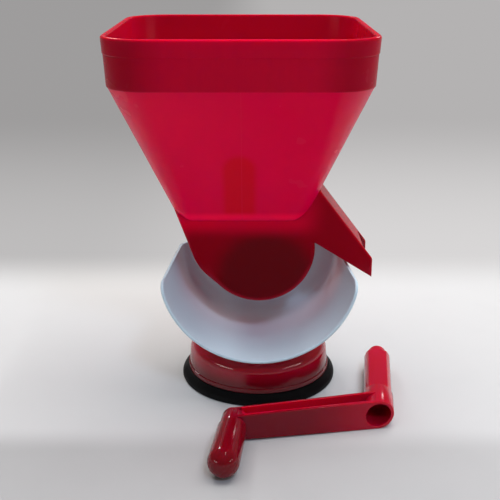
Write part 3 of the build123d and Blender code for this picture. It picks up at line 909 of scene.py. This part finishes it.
@dataclass(frozen=True)
class Stand:
    """White scoop with the upright tongue behind the drum and the ring under it."""

    front_y: float = -57.0
    back_y: float = 38.2
    front_radius: float = 69.4
    back_radius: float = 59.8
    hoop_steps: int = 192
    floor_z: float = 33.5
    wall: float = 2.2
    corner: float = 10.0
    corner_cuts: int = 7
    back_round: float = 12.0
    back_steps: int = 10
    rim_z: float = 93.5
    rim_angle: float = 50.0
    rim_share: float = 0.42
    rim_steps: int = 4
    rim_slack: float = 0.05
    tongue_radius: float = 31.2
    tongue_steps: int = 128
    tongue_front: float = 34.9
    tongue_back: float = 38.5
    tongue_soft: float = 0.6
    tongue_clear: float = 1.0
    head_slack: float = 0.5
    bore: float = 15.05
    bore_spare: float = 5.0
    ring: Pair = (32.0, 29.0)
    ring_low: float = 33.0
    ring_high: float = 42.0

    def cone(self, inset: float = 0.0) -> tuple[Shape, list[Edge], list[Edge]]:
        """Draws the whole round of the scoop, open at both ends.

        Args:
            inset: How far it is drawn in from the scoop's outside.

        Returns:
            The mesh, and the edges of its front and of its back.
        """
        bm = bmesh.new()
        ends = []
        for y, radius in ((self.front_y, self.front_radius), (self.back_y, self.back_radius)):
            verts = bmesh.ops.create_circle(
                bm,
                segments=self.hoop_steps,
                radius=radius - inset,
                matrix=Matrix.Translation((0, y, self.floor_z + radius)) @ LEAN_FORWARD,
            )["verts"]
            ends.append(list({e for v in verts for e in v.link_edges}))
        bmesh.ops.bridge_loops(bm, edges=ends[0] + ends[1])
        return bm, ends[0], ends[1]

    def scoop(self) -> Object:
        """Models the open scoop with its rounded back and front corners.

        Returns:
            The scoop with its wall.
        """
        bm, _, back = self.cone()
        bmesh.ops.edgeloop_fill(bm, edges=back)
        face_out(bm)
        soften(bm, [e for e in back if e.is_manifold], self.back_round, self.back_steps)
        trim(bm, Vector((0, 0, self.rim_z)), Vector((0, 0, 1)))
        middle = Vector((0, self.front_y + self.corner, self.rim_z - self.corner))
        for cut in range(self.corner_cuts):
            turn = math.radians(90 * (cut + 0.5) / self.corner_cuts)
            way = Vector((0, -math.cos(turn), math.sin(turn)))
            trim(bm, middle + way * self.corner, way)
        merge(bm)
        obj = as_object(bm, "tray_moulding")
        shell = obj.modifiers.new("wall", "SOLIDIFY")
        shell.thickness = self.wall
        shell.offset = -1.0
        shell.use_even_offset = True
        settle(obj)
        return obj

    def round_rim(self, obj: Object) -> None:
        """Rounds the two edges along the open rim, away from the tongue.

        Args:
            obj: The whole stand.
        """
        bm = bmesh.new()
        bm.from_mesh(obj.data)
        merge(bm)
        front = self.front_y + self.corner + MERGE
        side = self.tongue_radius + self.tongue_clear
        rim = [
            e
            for e in sharp_edges(bm, self.rim_angle)
            if all(
                p.y < front or (abs(p.z - self.rim_z) < self.rim_slack and abs(p.x) > side)
                for p in (v.co for v in e.verts)
            )
        ]
        soften(bm, rim, self.wall * self.rim_share, self.rim_steps)
        bm.to_mesh(obj.data)
        bm.free()

    def tongue(self) -> Shape:
        """Models the upright plate with its round head.

        Returns:
            The closed plate.
        """
        bm = bmesh.new()
        bmesh.ops.create_circle(
            bm,
            cap_ends=True,
            segments=self.tongue_steps,
            radius=self.tongue_radius,
            matrix=Matrix.Translation((0, self.tongue_front, AXIS_Z)) @ LEAN_FORWARD,
        )
        for vert in bm.verts:
            if vert.co.z < AXIS_Z - self.head_slack:
                vert.co.x = math.copysign(self.tongue_radius, vert.co.x)
                vert.co.z = self.rim_z - self.tongue_radius
        merge(bm)
        raised = bmesh.ops.extrude_face_region(bm, geom=bm.faces[:])["geom"]
        moved = [v for v in raised if isinstance(v, bmesh.types.BMVert)]
        thick = self.tongue_back - self.tongue_front
        bmesh.ops.translate(bm, vec=(0, thick, 0), verts=moved)
        face_out(bm)
        soften(bm, sharp_edges(bm), self.tongue_soft)
        return bm

    def foot_ring(self) -> Shape:
        """Models the ring under the scoop, trimmed in the middle of the scoop's wall.

        Returns:
            The closed ring.
        """
        outer, inner = self.ring
        low, high = self.ring_low, self.ring_high
        profile = ((inner, low), (outer, low), (outer, high), (inner, high), (inner, low))
        ring = as_object(turned(profile), "ring")
        room, *ends = self.cone(self.wall / 2)
        for end in ends:
            bmesh.ops.edgeloop_fill(room, edges=end)
        face_out(room)
        weld(ring, room, Weld.CUT)
        return as_shape(ring)

    def build(self, finish: Material) -> None:
        """Models the stand and fixes it.

        Args:
            finish: Its plastic.
        """
        obj = self.scoop()
        weld(obj, self.tongue(), Weld.ADD)
        start, end = self.tongue_front - self.bore_spare, self.tongue_back + self.bore_spare
        weld(obj, round_bar(self.bore, start, end, z=AXIS_Z), Weld.CUT)
        weld(obj, self.foot_ring(), Weld.ADD)
        self.round_rim(obj)
        hand_over(obj, "stand", Slot.WHITE, finish, "stand_tray")


@dataclass(frozen=True)
class Foot:
    """Red cap on the black suction ring, with the seat of the lock behind."""

    cap: Profile = (
        (0, 33), (51.1, 33), (52.5, 11.5), (53.3, 11.5),
        (53.3, 8), (50.3, 8), (48.1, 30), (0, 30),
    )
    cap_rounds: Rounds = ((1, 12.0), (3, 0.5), (4, 0.5), (6, 9.0))
    seat: Triple = (8.5, 44.0, 53.6)
    seat_z: float = 17.0
    seat_soft: float = 0.5
    ring: Profile = (
        (0, 0), (30, 0), (30.8, 0.8), (45.2, 0.8), (46, 0), (58, 0),
        (58, 3.8), (54.1, 8), (47.3, 8), (47.3, 5), (0, 5),
    )
    ring_rounds: Rounds = ((5, 1.4), (6, 1.5), (7, 0.8))

    def build(self, plastic: Material, rubber: Material) -> None:
        """Models cap and ring and fixes them.

        Args:
            plastic: Finish of the cap.
            rubber: Finish of the ring.
        """
        cap = as_object(turned(self.cap, self.cap_rounds), "foot_cap")
        weld(cap, round_bar(*self.seat, self.seat_soft, z=self.seat_z), Weld.ADD)
        hand_over(cap, "stand", Slot.RED, plastic, "base_cap")
        ring = as_object(turned(self.ring, self.ring_rounds), "suction_ring")
        hand_over(ring, "stand", Slot.RUBBER, rubber, "suction_cup")


@dataclass(frozen=True)
class Crank:
    """Loose crank: slanted channelled arm, two-flatted shaft and turning grip."""

    reach: float = 96.4
    slant: float = math.tan(math.radians(17.1))
    hub: Pair = (10.6, 26.0)
    hub_depth: float = 16.0
    hub_angle: float = 40.0
    hub_slack: float = 0.01
    eye_depth: float = 13.5
    eye_radius: float = 9.0
    eye_stand: float = 0.8
    wall: float = 2.4
    web: float = 2.6
    soft: float = 0.5
    level: float = 0.9
    bore: Pair = (8.5, 23.0)
    pin_radius: float = 4.0
    pin_reach: float = 30.0
    drive_radius: float = 9.78
    drive_flat: float = 7.3
    drive_length: float = 61.0
    drive_root: float = 2.0
    nose: Triple = (6.9, 10.0, 2.5)
    nose_round: Rounds = ((4, 0.8),)
    flat_half: float = 20.0
    flat_spare: float = 5.0
    grip: Profile = (
        (4.05, 0), (10.0, 0), (10.3, 38.4), (10.3, 48.5), (0, 48.5),
        (0, 40.3), (5.8, 40.3), (5.8, 35.7), (4.05, 35.7), (4.05, 0),
    )
    grip_rounds: Rounds = ((1, 1.4), (3, 10.2))
    grip_gap: float = 0.3

    def on_table(self) -> Matrix:
        """Where the crank lies."""
        turn = Matrix.Rotation(math.radians(CRANK_TURN), 4, "Z")
        return Matrix.Translation(CRANK_PLACE) @ turn

    def front(self, x: float) -> float:
        """Front face of the arm at a distance from the hub."""
        return x * self.slant

    def arm(self) -> Shape:
        """Models the bar between hub and eye with a long pocket above and below.

        Returns:
            The closed bar.
        """
        bm = bmesh.new()
        bmesh.ops.create_cube(bm, size=2)
        for vert in bm.verts:
            far = vert.co.x < 0
            x = -self.reach if far else 0.0
            depth = self.eye_depth if far else self.hub_depth
            high = self.eye_radius if far else self.hub[0]
            y = self.front(x) + (depth if vert.co.y > 0 else 0.0)
            vert.co = (x, y, math.copysign(high, vert.co.z))
        soften(bm, sharp_edges(bm), self.soft)
        for side in (1, -1):
            flat = [f for f in bm.faces if f.normal.z * side > self.level]
            face = max(flat, key=lambda f: f.calc_area())
            rim = self.wall - self.soft
            bmesh.ops.inset_region(bm, faces=[face], thickness=rim, use_even_offset=True)
            pocket = bmesh.ops.extrude_discrete_faces(bm, faces=[face])["faces"][0]
            for vert in pocket.verts:
                vert.co.z = side * self.web / 2
        face_out(bm)
        return bm

    def hub_bar(self) -> Shape:
        """Models the hub with its slanted front.

        Returns:
            The closed hub.
        """
        radius, length = self.hub
        bm = round_bar(radius, -radius, length, self.soft)
        trim(bm, Vector((0, 0, 0)), Vector((self.slant, -1, 0)))
        bmesh.ops.holes_fill(bm, edges=bm.edges[:])
        cut = [
            e
            for e in sharp_edges(bm, self.hub_angle)
            if all(abs(v.co.y - self.front(v.co.x)) < self.hub_slack for v in e.verts)
        ]
        soften(bm, cut, self.soft)
        return bm

    def shaft(self) -> Shape:
        """Models the round bar with two flats and a narrower nose.

        Returns:
            The closed bar.
        """
        tip, length, slope = self.nose
        radius = self.drive_radius
        start = self.hub[1] - self.drive_root
        end = self.hub[1] + self.drive_length
        body = ((0, start), (radius, start), (radius, end))
        nose = ((tip, end + slope), (tip, end + length), (0, end + length))
        bm = turned(body + nose, self.nose_round)
        bmesh.ops.rotate(bm, verts=bm.verts[:], cent=(0, 0, 0), matrix=LEAN_BACK.to_3x3())
        shaft = as_object(bm, "shaft")
        half = (end + length + self.flat_spare) / 2
        room = bmesh.new()
        bmesh.ops.create_cube(room, size=2)
        sizes = (self.flat_half, half, self.drive_flat)
        bmesh.ops.scale(room, vec=sizes, verts=room.verts[:])
        bmesh.ops.translate(room, vec=(0, half, 0), verts=room.verts[:])
        weld(shaft, room, Weld.KEEP)
        return as_shape(shaft)

    def build(self, finish: Material, wear_and_shade: Material, steel: Material) -> None:
        """Models arm and grip and fixes them.

        Args:
            finish: Plastic of the arm.
            wear_and_shade: Plastic of the grip.
            steel: Finish of the axle in the grip.
        """
        eye = self.front(-self.reach)
        face = eye - self.eye_stand
        back = eye + self.eye_depth
        body = as_object(self.arm(), "crank_moulding")
        weld(body, self.hub_bar(), Weld.ADD)
        weld(body, round_bar(self.eye_radius, face, back, self.soft, -self.reach), Weld.ADD)
        weld(body, self.shaft(), Weld.ADD)
        weld(body, round_bar(self.bore[0], -self.hub[1], self.bore[1]), Weld.CUT)
        ends = (eye - self.pin_reach, eye + self.pin_reach)
        weld(body, round_bar(self.pin_radius, *ends, x=-self.reach), Weld.CUT)
        body.data.transform(self.on_table())
        hand_over(body, "crank", Slot.RED, finish, "crank_arm")
        grip = as_object(turned(self.grip, self.grip_rounds), "grip_moulding")
        lie = Matrix.Translation((-self.reach, face - self.grip_gap, 0)) @ LEAN_FORWARD
        grip.data.transform(self.on_table() @ lie)
        hand_over(grip, "grip", Slot.RED, wear_and_shade, "grip")
        dress(steel, "grip_pin")


# Stage, in metres


@dataclass(frozen=True)
class Lamp:
    """One soft lamp."""

    name: str
    place: Triple
    aim: Triple
    size: Pair
    watts: float
    colour: str = "#FFFFFF"
    mirrored: bool = True

    def hang(self) -> None:
        """Adds the lamp to the scene."""
        data = bpy.data.lights.new(self.name, "AREA")
        data.shape = "RECTANGLE"
        data.size, data.size_y = self.size
        data.energy = self.watts
        data.color = linear(self.colour)[:3]
        lamp = in_scene(self.name, data)
        lamp.location = self.place
        way = Vector(self.aim) - Vector(self.place)
        lamp.rotation_euler = way.to_track_quat("-Z", "Y").to_euler()
        lamp.visible_camera = False
        lamp.visible_glossy = self.mirrored


@dataclass(frozen=True)
class PaperSheet(Finish):
    """Matte white paper under the object, fading to the pale grey of the room far out."""

    name: str = "white_paper_sheet"
    near: str = "#C6C6C6"
    # dim: painted shade towards the front and the left
    dim: str = "#7C7A7A"
    dim_from: Pair = (-0.085, -0.118)
    dim_share: float = 0.6
    left: Pair = (0.12, -0.2)
    left_dim: Pair = (0.48, 0.74)
    far: Pair = (0.158, 0.274)
    round_far: Pair = (0.6, 1.2)
    fade: Pair = (0.2, 1.05)
    room_near: str = "#D9D7D7"
    room_far: str = "#B4B2B2"
    room_left: float = 0.75
    fibre: float = 45 * MM
    fibre_share: float = 0.08
    fibre_detail: float = 3.0
    roughness: float = 0.7
    gloss: float = 0.2

    def paper(self, net: NodeNet) -> Socket:
        """Paper near the object, with painted shade greyer towards the front and the left.

        Args:
            net: Node tree of the material.

        Returns:
            The shader socket.
        """
        span = (net.axes["Y"], *self.dim_from, 0.0, self.dim_share)
        ahead = net.add("MapRange", span, **SMOOTH)["Result"]
        span = (net.axes["X"], *self.left, *self.left_dim)
        aside = net.add("MapRange", span, **SMOOTH)["Result"]
        cloud = {"Vector": net.place, "Scale": 1 / self.fibre, "Detail": self.fibre_detail}
        soft = (net.add("TexNoise", cloud)["Fac"], self.fibre_share, -self.fibre_share / 2)
        sums = (ahead, aside, net.add("Math", soft, operation="MULTIPLY_ADD")[0])
        total = net.add("Math", sums, operation="MULTIPLY_ADD", use_clamp=True)[0]
        tones = {"Factor": total, "A": linear(self.near), "B": linear(self.dim)}
        tone = net.add("Mix", tones, **COLOURS)["Result"]
        look = {"Base Color": tone, "Roughness": self.roughness, "Specular IOR Level": self.gloss}
        return net.add("BsdfPrincipled", look)["BSDF"]

    def room(self, net: NodeNet) -> Socket:
        """Pale room far from the object, with painted shade dimmer to the left.

        Args:
            net: Node tree of the material.

        Returns:
            The shader socket.
        """
        fade = net.add("MapRange", (net.axes["Y"], *self.fade), **SMOOTH)["Result"]
        tones = {"Factor": fade, "A": linear(self.room_near), "B": linear(self.room_far)}
        tone = net.add("Mix", tones, **COLOURS)["Result"]
        span = (net.axes["X"], *self.left, 1.0, self.room_left)
        strength = net.add("MapRange", span, **SMOOTH)["Result"]
        return net.add("Emission", (tone, strength))[0]

    def away(self, net: NodeNet) -> Socket:
        """How far the paper has faded to the room, for what is seen or mirrored.

        Args:
            net: Node tree of the material.

        Returns:
            The socket, 1 where only the room shows.
        """
        back = net.add("MapRange", (net.axes["Y"], *self.far), **SMOOTH)["Result"]
        reach = net.add("VectorMath", (net.place,), operation="LENGTH")["Value"]
        out = net.add("MapRange", (reach, *self.round_far), **SMOOTH)["Result"]
        share = net.add("Math", (back, out), operation="MAXIMUM")[0]
        rays = net.add("LightPath")
        seen = rays["Is Camera Ray"]
        for ray in ("Is Glossy Ray", "Is Transmission Ray"):
            seen = net.add("Math", (seen, rays[ray]), operation="MAXIMUM")[0]
        return net.add("Math", (share, seen), operation="MULTIPLY")[0]

    def surface(self, net: NodeNet) -> Socket:
        """Wires the shader, paper near and room far."""
        parts = (self.away(net), self.paper(net), self.room(net))
        return net.add("MixShader", parts)[0]


@dataclass(frozen=True)
class Stage:
    """Pale sheet, soft lamps and the camera."""

    sheet_radius: float = 10.0
    sheet_lip: float = 0.8
    sheet_steps: int = 96
    eye: Triple = (-0.00644, -0.6344, 0.3204)
    tilt: float = 19.25
    lens: float = 65.38
    sensor: float = 36.0
    room: str = "#F8EEE8"
    room_light: float = 0.18
    lamps: tuple[Lamp, ...] = (
        Lamp("lamp_top", (0.0, 0.3, 1.4), (0, 0.3, 0), (1.8, 1.4), 28.0, "#FFFEFC", False),
        Lamp(
            "lamp_high_front", (0.32, -0.98, 1.12), (0, 0, 0.1), (0.22, 0.22), 5.8,
            "#CFE4FF", False,
        ),
        Lamp("lamp_back_right", (1.0, 0.3, 0.9), (0, 0, 0.1), (1.2, 1.2), 2.5, mirrored=False),
        Lamp("tube_over", (0.35, 0.05, 1.5), (0.35, 0.05, 0), (0.05, 1.1), 3.0),
        Lamp("window_left", (-1.31, -0.85, 0.4), (0, 0, 0.03), (0.9, 0.045), 1.7),
        Lamp("window_right", (1.28, -0.8, 0.55), (0, 0, 0.03), (0.9, 0.045), 1.7),
        Lamp("lamp_rear_left", (-0.5, 1.08, 0.95), (0, -0.1, 0.1), (0.2, 0.2), 3.0),
        Lamp("lamp_rear_right", (0.65, 1.14, 0.72), (0, -0.1, 0.1), (0.2, 0.2), 1.0),
    )
    glow_angles: tuple[float, ...] = (200.0, 225.0, 255.0, 285.0, 315.0, 340.0)
    glow_radius: float = 0.0412
    glow_size: Pair = (0.012, 0.03)
    glow_watts: float = 0.0008
    glow_colour: str = "#FF5030"

    def glow(self) -> None:
        """Hangs dim red lamps round the housing, for the light that its plastic lets through."""
        for angle in self.glow_angles:
            turn = math.radians(angle)
            out = Vector((math.cos(turn), 0, math.sin(turn)))
            place = out * self.glow_radius + Vector((0, 0, AXIS_Z * MM))
            look = (self.glow_size, self.glow_watts, self.glow_colour, False)
            Lamp(f"glow_{angle:.0f}", tuple(place), tuple(place + out), *look).hang()

    def sheet(self) -> None:
        """Lays the sheet that everything stands on."""
        bm = bmesh.new()
        steps = self.sheet_steps
        bmesh.ops.create_circle(bm, cap_ends=True, segments=steps, radius=self.sheet_radius)
        lip = bmesh.ops.extrude_edge_only(bm, edges=bm.edges[:])["geom"]
        raised = [v for v in lip if isinstance(v, bmesh.types.BMVert)]
        bmesh.ops.translate(bm, verts=raised, vec=(0, 0, self.sheet_lip))
        sheet = as_object(bm, "stage_sheet")
        sheet.data.materials.append(PaperSheet().build())

    def lights(self) -> None:
        """Hangs the lamps and sets the room's light."""
        for lamp in self.lamps:
            lamp.hang()
        self.glow()
        world = bpy.data.worlds.new("room")
        bpy.context.scene.world = world
        world.use_nodes = True
        world.node_tree.nodes.clear()
        net = NodeNet(world.node_tree)
        sky = net.add("Background", (linear(self.room), self.room_light))
        net.add("OutputWorld", {"Surface": sky["Background"]})

    def camera(self) -> None:
        """Sets the camera at the photograph's place and angle."""
        data = bpy.data.cameras.new("camera")
        data.lens = self.lens
        data.sensor_width = self.sensor
        camera = in_scene("camera", data)
        camera.location = self.eye
        camera.rotation_euler = (math.radians(90 - self.tilt), 0, 0)
        bpy.context.scene.camera = camera

    def build(self) -> None:
        """Puts the whole stage up."""
        self.sheet()
        self.lights()
        self.camera()
        bpy.context.scene.view_settings.view_transform = "Standard"


def main() -> None:
    """Builds and dresses every piece."""
    logging.basicConfig(level=logging.INFO, format="%(message)s")
    # The reds differ part by part as painted light and shade: lit and shaded copies of one red
    # plastic, the funnel paler pink as painted light.
    shine = {"roughness": 0.1, "smudge": 0.06}
    red = MouldedPlastic("red_polypropylene", "#980720", "#90061D", gloss=0.25, **shine)
    # Painted light brightens the crank towards its hub.
    arm = CrankPlastic(
        "red_polypropylene_crank", "#860720", "#7E061C", gloss=0.25, **shine,
        head="#B40A2C", axis="X", fade=(20 * MM, 88 * MM),
    )
    # The grip's darker red is painted shade.
    wear_and_shade = MouldedPlastic("red_polypropylene_grip", "#7A0616", "#720515", gloss=0.3, **shine)
    # Painted light makes the cap's top paler than its sides.
    cap = PaintedLightPlastic(
        "red_polypropylene_cap", "#740615", "#6E0513", roughness=0.08, smudge=0.04, gloss=0.48,
        head="#AC0A28", fade=(10 * MM, 26 * MM),
    )
    hopper = HopperPlastic("red_polypropylene_funnel", "#DC0048", "#D20042", gloss=0.05)
    housing = HousingPlastic("red_polypropylene_housing", "#A0061C", "#98051A", gloss=0.02)
    white = MouldedPlastic("white_polypropylene", "#D4EAF4", "#CDE3EE", roughness=0.3, glow=0.0)
    rubber = Rubber("black_nitrile_rubber", "#09090B", "#050506")
    nylon = MouldedPlastic("natural_nylon", "#DEDBCF", "#D0CCBE", roughness=0.4, glow=0.2).build()
    steel = Steel("plain_steel").build()
    Hopper().build(hopper.build())
    dress(housing.build(), "drum_housing")
    dress(red.build(), "back_cover", "suction_lever")
    dress(nylon, "bearing_bush", "thrust_washer", "plunger")
    dress(nylon, "drum_core", "drum_front_disc", "drum_rear_disc")
    dress(steel, "cover_screws", "stand_screws", "foot_screws", "lever_screw")
    dress(steel, "drum_shell", "cam_shaft", "cam_clip")
    Stand().build(white.build())
    Foot().build(cap.build(), rubber.build())
    Crank().build(arm.build(), wear_and_shade.build(), steel)
    Stage().build()
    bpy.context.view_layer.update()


if __name__ == "__main__":
    main()
